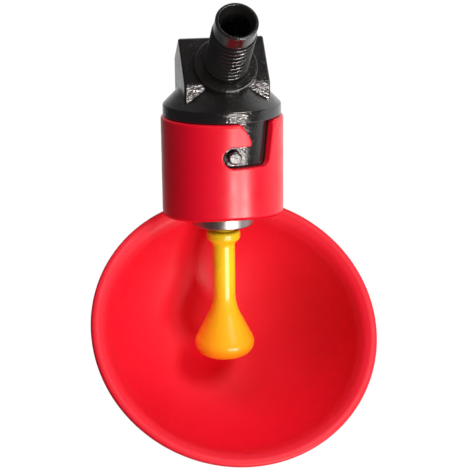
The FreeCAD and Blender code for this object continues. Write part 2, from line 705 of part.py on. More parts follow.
def check_and_write(bodies):
    """Stop on any failed object, then write each piece to its own file."""
    for item in document.Objects:
        if "Invalid" in item.State or "Error" in item.State:
            raise RuntimeError(f"{item.Name} failed: {item.State}")
    os.makedirs("parts", exist_ok=True)
    for body in bodies:
        shape = body.Shape
        if shape.isNull() or not shape.isValid() or len(shape.Solids) != 1:
            raise RuntimeError(f"{body.Label} is not one valid solid")
    for body in bodies:
        body.Shape.exportStep(f"parts/{body.Label}.step")
        print(f"{body.Label}: {body.Shape.Volume:.1f} mm3")


fill_sheet()
pieces = [
    build_cup(),
    build_valve_body(),
    build_nozzle(),
    build_seal_ring(),
    build_ball(),
    build_valve_pin(),
    build_plunger(),
    build_washer(),
    build_spring(),
    build_trigger(),
]
document.recompute()
check_and_write(pieces)
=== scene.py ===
"""Looks of a poultry drinking cup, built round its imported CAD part.

The lengths below are in millimetres and become metres when a mesh is made. Three frames are used:
"tube"    the row frame, whose Z axis is the inlet tube's axis, origin in the middle of its thread,
"rim"     the same axes with the origin in the middle of the bowl's rim,
"collar"  Z along the leaning collar, from the bowl to the elbow; origin in the collar's top edge.
In each, -Y is the side that faces the bird, and an azimuth counts from there towards +X.
"""

import math

import bmesh
import bpy
import numpy as np
from mathutils import Matrix, Vector
from mathutils.geometry import delaunay_2d_cdt


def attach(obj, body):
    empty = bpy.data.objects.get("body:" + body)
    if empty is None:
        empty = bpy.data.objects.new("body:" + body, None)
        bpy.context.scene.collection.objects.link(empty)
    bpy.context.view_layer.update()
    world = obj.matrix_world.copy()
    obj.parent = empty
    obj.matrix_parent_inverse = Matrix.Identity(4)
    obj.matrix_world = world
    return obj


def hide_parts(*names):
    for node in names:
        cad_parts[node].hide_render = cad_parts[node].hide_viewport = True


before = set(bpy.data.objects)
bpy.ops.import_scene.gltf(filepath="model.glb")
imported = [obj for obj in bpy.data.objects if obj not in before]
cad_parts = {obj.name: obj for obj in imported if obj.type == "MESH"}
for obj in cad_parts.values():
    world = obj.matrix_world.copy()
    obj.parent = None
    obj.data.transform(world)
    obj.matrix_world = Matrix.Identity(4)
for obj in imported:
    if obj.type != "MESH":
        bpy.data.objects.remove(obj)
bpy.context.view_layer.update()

MM = 0.001

# Sizes that several pieces or frames share, named as in the part's source

LEAN = math.radians(40.0)
ELBOW_HEIGHT = 8.76  # from the collar's top to where the tube's axis meets the collar's axis
BLOCK_FACE = 8.05  # from there along the tube to the block's slanted face
RING_HEIGHT = 1.55  # from that face to the thread
THREAD_HALF = 8.5
RIM_FORWARD = 17.72  # middle of the rim in front of the collar's axis
RIM_BELOW = 55.84
RIM_RADIUS = 40.0
BOWL_WALL = 2.0
DISH_CENTRE = 2.4  # above the rim
DISH_RADIUS = RIM_RADIUS - 4.8
COLLAR_RADIUS = 17.0
COLLAR_BORE = COLLAR_RADIUS - 2.0
COLLAR_DEPTH = 27.0
FLOOR_TOP = 23.9  # this and the levels that follow are below the collar's top
WALL_FOOT = 24.2  # where the slotted wall ends and the rounded foot begins
ROOT_TOP = 23.6
SLOT_LEVEL = 9.1
SLOT_HALF = 2.95
SPIGOT_END = 23.7
NOZZLE_TOP = 12.5
NOZZLE_SEAT = 6.0  # radius of the part in the elbow
STEM_RADIUS = 1.25
STEM_END = 44.6
THREAD_RADIUS = 6.0
THREAD_NECK = THREAD_RADIUS - 0.75  # the groove between the thread and the ring
PLAIN_RADIUS = 5.7  # the plain end above the thread

UPRIGHT = np.eye(3)
LEANING = np.array([
    [1.0, 0.0, 0.0],
    [0.0, math.sin(LEAN), -math.cos(LEAN)],
    [0.0, math.cos(LEAN), math.sin(LEAN)],
])
ELBOW = np.array([0.0, 0.0, -(THREAD_HALF + RING_HEIGHT + BLOCK_FACE)])
COLLAR_TOP = ELBOW - ELBOW_HEIGHT * LEANING[2]
RIM_MIDDLE = COLLAR_TOP - np.array([0.0, RIM_FORWARD, RIM_BELOW]) @ LEANING
FRAMES = {
    "tube": (UPRIGHT, np.zeros(3)),
    "rim": (UPRIGHT, RIM_MIDDLE),
    "collar": (LEANING, COLLAR_TOP),
}

# A quarter turn of the collar's outside, unrolled

QUARTER = math.pi / 2 * COLLAR_RADIUS

# How finely the shapes are divided

ROUND = 256
BOWL_ROUND = 320
TUBE_ROUND = 192
PIN_ROUND = 48
EDGE_STEP = 0.42  # longest stretch of the collar's slotted edge
EDGE_CLEAR = 0.22  # points inside its wall keep this far from the edge
MERGE = 0.002  # points nearer than this become one


# Shapes

def placed(points, where):
    """Points of a named frame, in the row frame: turned by its axes, then moved to its origin."""
    axes, origin = FRAMES[where]
    return points @ axes + origin


def ease(share):
    """A share from 0 to 1 that starts and ends level: s squared times (3 - 2 s)."""
    return share * share * (3 - 2 * share)


def arc(x, y, radius, start, end, count):
    """Points (x + radius cos a, y + radius sin a), with a from start to end in degrees."""
    angles = np.radians(np.linspace(start, end, count))
    return np.stack([x + radius * np.cos(angles), y + radius * np.sin(angles)], axis=1)


def around(radius, azimuth, height):
    """Points round the Z axis: (r sin a, -r cos a, z), for whole arrays."""
    radius, azimuth, height = np.broadcast_arrays(radius, azimuth, height)
    return np.stack([radius * np.sin(azimuth), -radius * np.cos(azimuth), height], axis=-1)


def full_turn(count):
    """Evenly spaced azimuths, without the last one, which would meet the first."""
    return 2 * math.pi * np.arange(count) / count


def rounded_path(corners, closed=False, step=9.0):
    """A path through corners (x, y, radius). Each corner becomes an arc that touches both sides,
    centred on their bisector at radius / cos(half the turn), with a point every step degrees or
    less. An arc takes at most half of a side."""
    spots = np.array([corner[:2] for corner in corners], dtype=float)
    count = len(spots)
    path = []
    for index, (spot, corner) in enumerate(zip(spots, corners)):
        if len(corner) < 3 or not (closed or 0 < index < count - 1):
            path.append(spot[None])
            continue
        before = spots[index - 1] - spot
        after = spots[(index + 1) % count] - spot
        long_before, long_after = np.linalg.norm(before), np.linalg.norm(after)
        before, after = before / long_before, after / long_after
        half_turn = (math.pi - math.acos(np.clip(before @ after, -1.0, 1.0))) / 2
        limit = 0.499 * min(long_before, long_after)
        reach = min(corner[2] * math.tan(half_turn), limit)
        radius = reach / math.tan(half_turn)
        middle = before + after
        centre = spot + middle / np.linalg.norm(middle) * radius / math.cos(half_turn)
        start = spot + before * reach - centre
        sign = 1.0 if before[1] * after[0] - before[0] * after[1] > 0 else -1.0
        pieces = max(2, math.ceil(math.degrees(2 * half_turn) / step))
        angles = sign * 2 * half_turn * np.arange(pieces + 1) / pieces
        c, s = np.cos(angles), np.sin(angles)
        path.append(centre + np.stack([c * start[0] - s * start[1],
                                       s * start[0] + c * start[1]], axis=1))
    return np.concatenate(path)


def path_sides(path, closed=False):
    """Unit vectors to the right of a path at its points, from the points before and after."""
    if closed:
        along = np.roll(path, -1, axis=0) - np.roll(path, 1, axis=0)
    else:
        along = np.gradient(path, axis=0)
    along = along / np.linalg.norm(along, axis=1, keepdims=True)
    return np.stack([along[:, 1], -along[:, 0]], axis=1)


def grid_quads(rows, columns, wrap_rows=False, wrap_columns=False):
    """Quads over a grid of points numbered row by row."""
    row_count = rows if wrap_rows else rows - 1
    column_count = columns if wrap_columns else columns - 1
    r, c = np.meshgrid(np.arange(row_count), np.arange(column_count), indexing="ij")
    r_next, c_next = (r + 1) % rows, (c + 1) % columns
    quads = np.stack([r * columns + c, r * columns + c_next,
                      r_next * columns + c_next, r_next * columns + c], axis=-1)
    return quads.reshape(-1, 4)


def lathe(path, where, count=ROUND, closed=False):
    """A section (r, z) turned about the frame's Z axis: (r sin a, -r cos a, z)."""
    points = around(path[:, :1], full_turn(count), path[:, 1:])
    return placed(points.reshape(-1, 3), where), grid_quads(len(path), count, closed, True), None


def on_collar(unrolled, radius):
    """(s, z) wrapped on a cylinder about the collar's axis: azimuth s / the collar's radius."""
    return around(radius, unrolled[..., 0] / COLLAR_RADIUS, unrolled[..., 1])


# Meshes

def piece(name, parts, body, slot, *nodes):
    """Join parts into one smooth mesh that rides a body and stands for CAD nodes. A part is its
    points, its faces as an array or a list of arrays, and its normals or None."""
    offset = 0
    points, faces, normals = [], [], []
    for spots, polygons, given in parts:
        points.append(spots)
        for group in polygons if isinstance(polygons, list) else [polygons]:
            faces += (group + offset).tolist()
        normals.append(np.zeros_like(spots) if given is None else given)
        offset += len(spots)
    mesh = bpy.data.meshes.new(name)
    mesh.from_pydata((np.concatenate(points) * MM).tolist(), [], faces)
    held = mesh.attributes.new("held_normal", "FLOAT_VECTOR", "POINT")
    held.data.foreach_set("vector", np.concatenate(normals).astype(np.float32).ravel())
    work = bmesh.new()
    work.from_mesh(mesh)
    bmesh.ops.remove_doubles(work, verts=work.verts, dist=MERGE * MM)
    bmesh.ops.recalc_face_normals(work, faces=work.faces)
    work.to_mesh(mesh)
    work.free()
    shade(mesh)
    shape = bpy.data.objects.new(name, mesh)
    bpy.context.scene.collection.objects.link(shape)
    mesh.materials.append(MATERIALS[slot])
    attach(shape, body)
    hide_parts(*nodes)


def column(items, key, width=1, kind=np.float32):
    """One property of all items of a mesh, as an array with width numbers in a row."""
    values = np.zeros(len(items) * width, dtype=kind)
    items.foreach_get(key, values)
    return values.reshape(-1, width)


def shade(mesh):
    """Smooth normals: the given ones where there are any, turned to the outside, and elsewhere
    the mean of the faces round a point, each weighed by its area."""
    held = column(mesh.attributes["held_normal"].data, "vector", 3)
    corner_vertex = column(mesh.loops, "vertex_index", kind=np.int32)[:, 0]
    corner_count = column(mesh.polygons, "loop_total", kind=np.int32)[:, 0]
    weighed = column(mesh.polygons, "normal", 3) * column(mesh.polygons, "area")
    mean = np.zeros((len(mesh.vertices), 3))
    np.add.at(mean, corner_vertex, np.repeat(weighed, corner_count, axis=0))
    mean /= np.maximum(np.linalg.norm(mean, axis=1, keepdims=True), 1e-20)
    given = np.linalg.norm(held, axis=1) > 0.5
    side = np.sign((held * mean).sum(axis=1, keepdims=True))
    mean[given] = (held * side)[given]
    mesh.polygons.foreach_set("use_smooth", np.ones(len(mesh.polygons), dtype=bool))
    mesh.normals_split_custom_set_from_vertices(mean.tolist())
    mesh.attributes.remove(mesh.attributes["held_normal"])


# Materials

def linear(text):
    """An sRGB colour such as "D0102A" as linear numbers."""
    values = [int(text[i:i + 2], 16) / 255 for i in (0, 2, 4)]
    return tuple(v / 12.92 if v <= 0.04045 else ((v + 0.055) / 1.055) ** 2.4 for v in values) + (1.0,)


def per_metre(size):
    """Scale of a noise whose lumps are so many millimetres apart."""
    return 1.0 / (size * MM)


def add(tree, kind, settings=None, **inputs):
    """Add a node. An input's name has _ for a space, or is _ and its number; sockets are linked."""
    made = tree.nodes.new(kind)
    for key, value in (settings or {}).items():
        setattr(made, key, value)
    for key, value in inputs.items():
        socket = made.inputs[int(key[1:])] if key[0] == "_" else made.inputs[key.replace("_", " ")]
        if isinstance(value, bpy.types.NodeSocket):
            tree.links.new(value, socket)
        else:
            socket.default_value = value
    return made


def new_material(name):
    """An empty material, its node tree, and the place on the object in metres."""
    material = bpy.data.materials.new(name)
    material.use_nodes = True
    tree = material.node_tree
    tree.nodes.clear()
    return material, tree, add(tree, "ShaderNodeTexCoord").outputs["Object"]


# Settings that several nodes share

RGBA = {"data_type": "RGBA"}
FLOAT = {"data_type": "FLOAT"}
DOT_PRODUCT = {"operation": "DOT_PRODUCT"}
SMOOTHSTEP = {"interpolation_type": "SMOOTHSTEP"}

# Heights in the row frame between which the cup turns duller, and between which the trigger
# takes on a painted orange tint that stands in for red light thrown back from the bowl

DULL_FROM = -42.0 * MM
DULL_TO = -46.0 * MM
PAINTED_BOUNCE_FROM = -47.0 * MM
PAINTED_BOUNCE_TO = -63.0 * MM


def moulded_plastic(name, deep, pale, rough, glow=0.0, glow_colour=(1.0, 0.3, 0.2), satin=0.0,
                    grit=0.12, depth=0.01, index=1.49, foot=None):
    """Injection-moulded plastic: faint clouds in the colour from the melt's flow, a gloss that
    varies a little, and the very fine waviness of a moulded skin, which breaks the highlights.
    Satin is how much duller it gets below the rim's level, where the tool was left unpolished.
    Grit is the share of fine grain in the waviness and depth its height in millimetres: a coarse
    skin breaks a highlight into glints. The grain is drawn 0.4 mm across, coarser than a real
    one, so that it shows. Index is the plastic's refractive index. Foot is a painted orange tint
    that grows towards the lower end. It is painted light that stands in for red light thrown back
    onto the part from the bowl, not a colour of the plastic."""
    material, tree, place = new_material(name)
    clouds = add(tree, "ShaderNodeTexNoise", Vector=place, Scale=per_metre(18.18), Detail=3.0,
                 Roughness=0.55)
    share = add(tree, "ShaderNodeMapRange", Value=clouds.outputs["Fac"], From_Min=0.32, From_Max=0.68)
    colour = add(tree, "ShaderNodeMix", RGBA, _0=share.outputs[0], _6=linear(deep), _7=linear(pale))
    patches = add(tree, "ShaderNodeTexNoise", Vector=place, Scale=per_metre(4.167), Detail=4.0)
    gloss = add(tree, "ShaderNodeMapRange", Value=patches.outputs["Fac"], From_Min=0.3, From_Max=0.7,
                To_Min=rough - 0.035, To_Max=rough + 0.045)
    height = add(tree, "ShaderNodeSeparateXYZ", Vector=place).outputs["Z"]
    low = add(tree, "ShaderNodeMapRange", SMOOTHSTEP, Value=height,
              From_Min=DULL_FROM, From_Max=DULL_TO, To_Min=0.0, To_Max=satin)
    dull = add(tree, "ShaderNodeMath", _0=gloss.outputs[0], _1=low.outputs[0])
    # Painted light: towards the lower end the colour is mixed with foot, an orange tint that stands
    # in for red light thrown back from the bowl
    if foot:
        painted_bounce_share = add(tree, "ShaderNodeMapRange", SMOOTHSTEP, Value=height,
                    From_Min=PAINTED_BOUNCE_FROM, From_Max=PAINTED_BOUNCE_TO)
        colour = add(tree, "ShaderNodeMix", RGBA,
                     _0=painted_bounce_share.outputs[0], _6=colour.outputs[2], _7=linear(foot))
    skin = add(tree, "ShaderNodeTexNoise", Vector=place, Scale=per_metre(2.381), Detail=2.0)
    grain = add(tree, "ShaderNodeTexNoise", Vector=place, Scale=per_metre(0.41667), Detail=1.0)
    both = add(tree, "ShaderNodeMath", {"operation": "MULTIPLY_ADD"},
               _0=grain.outputs["Fac"], _1=grit, _2=skin.outputs["Fac"])
    relief = add(tree, "ShaderNodeBump", Height=both.outputs[0], Strength=1.0, Distance=depth * MM)
    shader = add(tree, "ShaderNodeBsdfPrincipled", Base_Color=colour.outputs[2],
                 Roughness=dull.outputs[0], Normal=relief.outputs[0], IOR=index,
                 Subsurface_Weight=glow, Subsurface_Radius=glow_colour, Subsurface_Scale=1.2 * MM)
    add(tree, "ShaderNodeOutputMaterial", Surface=shader.outputs[0])
    return material


def turned_steel(name):
    """Turned stainless steel: rings round the collar's axis from the lathe tool, so that
    reflections draw out into upright streaks, and slight clouds from handling. The tool's marks
    are drawn a ninth of a millimetre apart, coarser than real ones, so that they show."""
    material, tree, place = new_material(name)
    along = add(tree, "ShaderNodeVectorMath", DOT_PRODUCT, _0=place, _1=tuple(LEANING[2]))
    rings = add(tree, "ShaderNodeTexNoise", {"noise_dimensions": "1D"},
                W=along.outputs["Value"], Scale=per_metre(1 / 9), Detail=3.0)
    clouds = add(tree, "ShaderNodeTexNoise", Vector=place, Scale=per_metre(3.333), Detail=3.0)
    gloss = add(tree, "ShaderNodeMapRange", Value=clouds.outputs["Fac"], From_Min=0.3, From_Max=0.7,
                To_Min=0.32, To_Max=0.44)
    relief = add(tree, "ShaderNodeBump", Height=rings.outputs["Fac"], Strength=0.25,
                 Distance=0.008 * MM)
    shader = add(tree, "ShaderNodeBsdfPrincipled", Base_Color=linear("ACABA9"), Metallic=1.0,
                 Roughness=gloss.outputs[0], Normal=relief.outputs[0])
    add(tree, "ShaderNodeOutputMaterial", Surface=shader.outputs[0])
    return material


def moulded_rubber(name):
    """Black rubber: dull, with a fine dusty grain."""
    material, tree, place = new_material(name)
    grain = add(tree, "ShaderNodeTexNoise", Vector=place, Scale=per_metre(0.6667), Detail=3.0)
    colour = add(tree, "ShaderNodeMix", RGBA,
                 _0=grain.outputs["Fac"], _6=linear("151515"), _7=linear("2A2928"))
    relief = add(tree, "ShaderNodeBump", Height=grain.outputs["Fac"], Strength=0.4,
                 Distance=0.03 * MM)
    shader = add(tree, "ShaderNodeBsdfPrincipled", Base_Color=colour.outputs[2], Roughness=0.62,
                 Normal=relief.outputs[0])
    add(tree, "ShaderNodeOutputMaterial", Surface=shader.outputs[0])
    return material


MATERIALS = {
    # An even, strong red with a soft gloss, duller inside the bowl than on the collar
    "cup_plastic": moulded_plastic("red polypropylene", "EA0A26", "EE0C2C", 0.31,
                                   glow=0.08, satin=0.22),
    # Near black, with a harder gloss than the cup's and glints from a coarse, pitted skin. Its
    # index is above acetal's own 1.48, so that the glints are as bright as in the photo
    "body_plastic": moulded_plastic("black acetal", "151213", "211E1D", 0.17,
                                    grit=0.8, depth=0.09, index=1.8),
    # A clear, warm yellow that lets some light through, with a faint gloss that leaves the yellow
    # strong. Its bell turns to orange by a painted tint, which stands in for red light thrown back
    # from the bowl
    "trigger_plastic": moulded_plastic("yellow acetal", "FFDC1E", "FFE22C", 0.26, glow=0.2,
                                       glow_colour=(1.0, 0.7, 0.2), index=1.42, foot="FFAE18"),
    # Milky white, as acetal is without a dye
    "plunger_plastic": moulded_plastic("natural acetal", "DCD9D0", "E8E6DF", 0.3,
                                       glow=0.1, glow_colour=(1.0, 0.9, 0.8)),
    # A grey band with upright streaks under the red collar
    "steel": turned_steel("turned stainless steel"),
    # Dull black, beside the steel and the gloss of the plastics
    "rubber": moulded_rubber("black rubber"),
}


# Cup

def bowl_path():
    """Section (r, z) of the dish, rim band, lip and outer wall, from the inner pole to the outer:
    two arcs round the dish's centre, a wall apart, and the rim's rounded corners between them."""
    inside = arc(0.0, DISH_CENTRE, DISH_RADIUS, -90.0, -12.5, 90)
    rim = rounded_path([
        inside[-1],
        (RIM_RADIUS - 5.25, -3.4, 9.0),
        (RIM_RADIUS - 3.9, -1.0, 3.4),
        (RIM_RADIUS - 1.7, 0.06, 3.0),
        (RIM_RADIUS - 0.35, -0.2, 1.1),
        (RIM_RADIUS, -1.1, 0.7),
        (RIM_RADIUS - 0.5, -1.95, 0.6),
        (RIM_RADIUS - 1.8, -2.3, 1.3),
        (RIM_RADIUS - 3.15, -3.1, 0.9),
        (RIM_RADIUS - 3.38, -4.1),
    ], step=6.0)
    outside = arc(0.0, DISH_CENTRE, DISH_RADIUS + BOWL_WALL, -10.6, -90.0, 90)
    return np.concatenate([inside[:-1], rim, outside])


def slot_edge():
    """Top edge of half the collar's wall with one bayonet slot, unrolled as (s, z), s rising: the
    entry's open side, the level run with its round end, and the entry's closed side."""
    entry = math.radians(28.5) * COLLAR_RADIUS
    end = math.radians(0.4) * COLLAR_RADIUS
    near = entry - 3.15
    roof = -SLOT_LEVEL + SLOT_HALF
    floor = -SLOT_LEVEL - SLOT_HALF
    first = rounded_path([
        (-QUARTER, 0.0),
        (entry - 5.9, 0.0, 1.6),
        (near, -4.6, 3.0),
        (near, roof, 0.7),
        (end, roof),
    ], step=7.0)
    round_end = arc(end, -SLOT_LEVEL, SLOT_HALF, 90.0, 270.0, 30)
    last = rounded_path([
        (end, floor),
        (entry + 2.75, floor, 2.2),
        (entry + 5.17, 0.0, 1.6),
        (QUARTER, 0.0),
    ], step=7.0)
    return np.concatenate([first[:-1], round_end, last[1:]])


def refined(path, step):
    """The path with points added evenly to each stretch, so that none are further apart than
    step: start + share (end - start)."""
    stretch = np.diff(path, axis=0)
    counts = np.maximum(1, np.ceil(np.linalg.norm(stretch, axis=1) / step).astype(int))
    which = np.repeat(np.arange(len(counts)), counts)
    order = np.arange(len(which)) - np.repeat(np.cumsum(counts) - counts, counts)
    share = (order / counts[which])[:, None]
    return np.concatenate([path[which] + stretch[which] * share, path[-1:]])


def inside_polygon(points, polygon):
    """Even-odd test of many points against one polygon: how many of its sides cross the level
    line from a point to the right."""
    x, y = points[:, 0][:, None], points[:, 1][:, None]
    x0, y0 = polygon[:, 0], polygon[:, 1]
    x1, y1 = np.roll(x0, -1), np.roll(y0, -1)
    crossing = (y0 > y) != (y1 > y)
    at = (x1 - x0) * (y - y0) / np.where(y1 == y0, 1e-12, y1 - y0) + x0
    return (crossing & (x < at)).sum(axis=1) % 2 == 1


def wall_skin(edge, radius, facing):
    """One face of the slotted wall: the unrolled region under its edge, filled with triangles on
    a grid of points and wrapped on a cylinder. Its normals point straight out or in."""
    columns = np.linspace(-QUARTER, QUARTER, ROUND // 2 + 1)
    rows = np.linspace(-WALL_FOOT, edge[0, 1], 24)
    s, z = columns[1:-1], rows[1:-1]
    foot = np.stack([columns[::-1], np.full_like(columns, -WALL_FOOT)], axis=1)
    right = np.stack([np.full_like(z, QUARTER), z[::-1]], axis=1)
    left = np.stack([np.full_like(z, -QUARTER), z], axis=1)
    loop = np.concatenate([edge, right, foot, left])
    count = len(loop)
    fill = np.stack(np.meshgrid(s, z, indexing="ij"), axis=-1).reshape(-1, 2)
    fill = fill[inside_polygon(fill, loop)]
    apart = np.linalg.norm(fill[:, None, :] - loop[None, :, :], axis=2).min(axis=1)
    fill = fill[apart > EDGE_CLEAR]
    spots = [Vector(spot) for spot in np.concatenate([loop, fill]).tolist()]
    border = [(index, (index + 1) % count) for index in range(count)]
    flat, _, faces, _, _, _ = delaunay_2d_cdt(spots, border, [], 0, 1e-6, False)
    flat, faces = np.array(flat), np.array(faces)
    faces = faces[inside_polygon(flat[faces].mean(axis=1), loop)]
    return on_collar(flat, radius), faces, around(facing, flat[:, 0] / COLLAR_RADIUS, 0.0)


def slotted_wall():
    """The collar's wall: two skins under the slotted edge and a rounded strip that joins them.
    The strip is a quarter circle of radius outer from the outside to the top, and one of radius
    inner from the top to the bore, each set in from the edge by radius (1 - sin t) and from its
    skin by radius (1 - cos t). The outer one widens from the slot up to the collar's top. The
    half with the front slot is repeated with a half turn."""
    edge = refined(slot_edge(), EDGE_STEP)
    side = path_sides(edge)
    side[0] = side[-1] = (0.0, -1.0)
    outer = 0.4 + 0.5 * ease(np.clip((edge[:, 1] + 2.5) / 2.2, 0.0, 1.0))
    inner = np.full(len(edge), 0.35)
    up = np.radians(np.linspace(0.0, 90.0, 8))[:, None]
    down = np.radians(np.linspace(90.0, 0.0, 6))[:, None]
    inset = np.concatenate([outer * (1 - np.sin(up)), inner * (1 - np.sin(down))])
    radius = np.concatenate([COLLAR_RADIUS - outer * (1 - np.cos(up)),
                             COLLAR_BORE + inner * (1 - np.cos(down))])
    outward = np.concatenate([np.cos(up), -np.cos(down)])[..., None]
    away = np.concatenate([np.sin(up), np.sin(down)])[..., None]
    unrolled = edge + side * inset[..., None]
    azimuth = unrolled[..., 0] / COLLAR_RADIUS
    radial = around(1.0, azimuth, 0.0)
    along = around(1.0, azimuth + math.pi / 2, 0.0)
    over_edge = -(side[:, :1] * along + side[:, 1:] * np.array([0.0, 0.0, 1.0]))
    points = on_collar(unrolled, radius)
    normals = radial * outward + over_edge * away
    skins = [
        (points.reshape(-1, 3), grid_quads(*inset.shape), normals.reshape(-1, 3)),
        wall_skin(edge + side * outer[:, None], COLLAR_RADIUS, 1.0),
        wall_skin(edge + side * inner[:, None], COLLAR_BORE, -1.0),
    ]
    spins = [np.array([half_turn, half_turn, 1.0]) for half_turn in (1.0, -1.0)]
    return [(placed(points * spin, "collar"), faces, (normals * spin) @ LEANING)
            for points, faces, normals in skins for spin in spins]


def collar_foot():
    """Rounded lower edge, floor and outlet, turned about the collar's axis. The edge is arched:
    z + w (0.4 - 1.6 sin^2 a), with azimuth a held at 90 degrees behind, w from 0 at its top to 1
    at 2.4 mm below."""
    outlet_radius = 10.0
    lower = rounded_path([
        (COLLAR_RADIUS, -WALL_FOOT),
        (COLLAR_RADIUS, -COLLAR_DEPTH, 2.79),
        (outlet_radius, -COLLAR_DEPTH, 0.5),
        (outlet_radius, -FLOOR_TOP, 0.5),
        (COLLAR_BORE, -FLOOR_TOP, 0.2),
        (COLLAR_BORE, -WALL_FOOT + 0.9),
    ], step=6.0)
    turns = full_turn(ROUND)
    arch = 0.4 - 1.6 * np.where(np.cos(turns) > 0, np.sin(turns) ** 2, 1.0)
    share = ease(np.clip((-WALL_FOOT - lower[:, 1:]) / 2.4, 0.0, 1.0))
    points = around(lower[:, :1], turns, lower[:, 1:] + share * arch)
    quads = grid_quads(len(lower), ROUND, wrap_columns=True)
    return placed(points.reshape(-1, 3), "collar"), quads, None


def root_reach(azimuth, radius):
    """How far down the collar's back wall runs at each azimuth, to the first of many levels that
    lies within the rim or inside the bowl's outer wall."""
    deepest = 52.0
    levels = np.linspace(-ROOT_TOP, -deepest, 1200)
    spots = placed(around(radius, azimuth[:, None], levels), "collar") - RIM_MIDDLE
    from_axis = np.hypot(spots[..., 0], spots[..., 1])
    from_centre = np.hypot(from_axis, spots[..., 2] - DISH_CENTRE)
    in_bowl = (spots[..., 2] < -2.0) & (from_centre < DISH_RADIUS + BOWL_WALL - 0.5)
    met = (from_axis < RIM_RADIUS - 1.4) | in_bowl
    met[:, -1] = True
    return levels[met.argmax(axis=1)]


def root_wall():
    """Back wall of the collar, from its lower edge down to the bowl's outside: two skins on
    cylinders, level by level from the top to their reach, and strips that close them."""
    skins = []
    scan = np.radians(np.arange(20.0, 180.0, 0.25))
    for radius in (COLLAR_RADIUS - 0.25, COLLAR_BORE):
        first = scan[root_reach(scan, radius) < -ROOT_TOP - 0.1][0]
        turns = np.linspace(first, 2 * math.pi - first, 181)
        share = np.linspace(0.0, 1.0, 24)[:, None]
        height = -ROOT_TOP + (root_reach(turns, radius) + ROOT_TOP) * share
        skins.append(around(radius, turns, height))
    outer, inner = skins
    strips = [np.stack([outer[-1], inner[-1]]), np.stack([inner[0], outer[0]]),
              np.stack([outer[:, 0], inner[:, 0]]), np.stack([outer[:, -1], inner[:, -1]])]
    return [(placed(skin.reshape(-1, 3), "collar"), grid_quads(*skin.shape[:2]), None)
            for skin in skins + strips]


piece("bowl", [lathe(bowl_path(), "rim", BOWL_ROUND)], "cup", "cup_plastic", "cup")
piece("collar", slotted_wall() + [collar_foot()], "cup", "cup_plastic", "cup")
piece("collar_root", root_wall(), "cup", "cup_plastic", "cup")


# Elbow

def flange_path():
    """Section (r, z) of the elbow below its block: cone, flange, spigot, the cored room in it, the
    boss round the valve, the bore for nozzle and spring, and the feed hole."""
    cone_radius, cone_top = 7.8, 11.8
    flange_radius, flange_top, flange_gap = 16.4, 3.2, 0.1
    spigot_radius, spigot_bore, spigot_roof = 14.92, 12.92, 3.0
    boss_radius, seat_radius = 8.2, NOZZLE_SEAT + 0.02
    spring_bore, spring_seat = 5.4, 0.5
    feed_radius, feed_top = 2.6, 8.0
    return rounded_path([
        (0.0, cone_top),
        (cone_radius, cone_top, 0.8),
        (flange_radius, flange_top, 0.7),
        (flange_radius, flange_gap, 0.45),
        (spigot_radius, flange_gap, 0.1),
        (spigot_radius, -SPIGOT_END, 0.4),
        (spigot_bore, -SPIGOT_END, 0.4),
        (spigot_bore, -spigot_roof, 0.6),
        (boss_radius, -spigot_roof, 0.6),
        (boss_radius, -SPIGOT_END, 0.4),
        (seat_radius, -SPIGOT_END, 0.2),
        (seat_radius, -NOZZLE_TOP, 0.1),
        (spring_bore, -NOZZLE_TOP, 0.1),
        (spring_bore, spring_seat, 0.3),
        (feed_radius, spring_seat, 0.2),
        (feed_radius, feed_top, 0.2),
        (0.0, feed_top),
    ])


def block_outline():
    """Side view (y, z) of the elbow's block in the collar's frame: foot, back and front along the
    collar's axis, the top along the tube's, and the face across the tube between top and front."""
    sin, cos, tan = math.sin(LEAN), math.cos(LEAN), math.tan(LEAN)
    foot, front, back, top, corner = 2.2, 9.3, 8.0, 10.0, 0.9
    return rounded_path([
        (-front, foot, corner),
        (back, foot, corner),
        (back, ELBOW_HEIGHT + top * cos + (top * sin - back) * tan, corner),
        (top * sin - BLOCK_FACE * cos, ELBOW_HEIGHT + BLOCK_FACE * sin + top * cos, corner),
        (-front, ELBOW_HEIGHT + (BLOCK_FACE - front * cos) / sin, corner),
    ], closed=True, step=12.0)


def slab(outline, half, edge):
    """The outline as a block: x from -half to half, its edges rounded by a quarter circle, set in
    by edge (1 - sin t) at x = half - edge (1 - cos t)."""
    side = path_sides(outline, closed=True)
    inward = side if ((outline.mean(axis=0) - outline) * side).sum() > 0 else -side
    turns = np.radians(np.linspace(0.0, 90.0, 7))
    inset = edge * (1 - np.sin(turns))
    across = half - edge * (1 - np.cos(turns))
    inset = np.concatenate([inset, inset[::-1]])[:, None, None]
    across = np.concatenate([-across, across[::-1]])[:, None, None]
    flat = outline + inward * inset
    points = np.concatenate([np.broadcast_to(across, flat.shape[:2] + (1,)), flat], axis=-1)
    row = np.arange(len(outline))
    caps = np.stack([row, row + (len(flat) - 1) * len(row)])
    quads = grid_quads(*flat.shape[:2], wrap_columns=True)
    return placed(points.reshape(-1, 3), "collar"), [quads, caps], None


def thread_skin():
    """Coarse moulded thread, pitch p: r = crest - depth f(z / p - a / 2 pi), f a rounded wave with
    a broad crest. It fades into the plain end at the top and into the neck at the bottom."""
    pitch, depth, fade = 1.75, 0.95, 0.9
    neck_height, run_out = 0.35, 0.7
    levels = np.linspace(-THREAD_HALF, THREAD_HALF, 300)
    level, angle = np.meshgrid(levels, full_turn(TUBE_ROUND), indexing="ij")
    phase = (level / pitch - angle / (2 * math.pi)) % 1.0
    wave = (0.5 - 0.5 * np.cos(2 * math.pi * phase)) ** 1.3
    cut = np.clip((THREAD_HALF - level) / fade, 0.0, 1.0)
    raised = np.clip((level + THREAD_HALF - neck_height) / run_out, 0.0, 1.0) ** 0.6
    radius = PLAIN_RADIUS + (THREAD_RADIUS - PLAIN_RADIUS - depth * wave) * cut
    radius = THREAD_NECK + (radius - THREAD_NECK) * raised
    quads = grid_quads(*radius.shape, wrap_columns=True)
    return placed(around(radius, angle, level).reshape(-1, 3), "tube"), quads, None


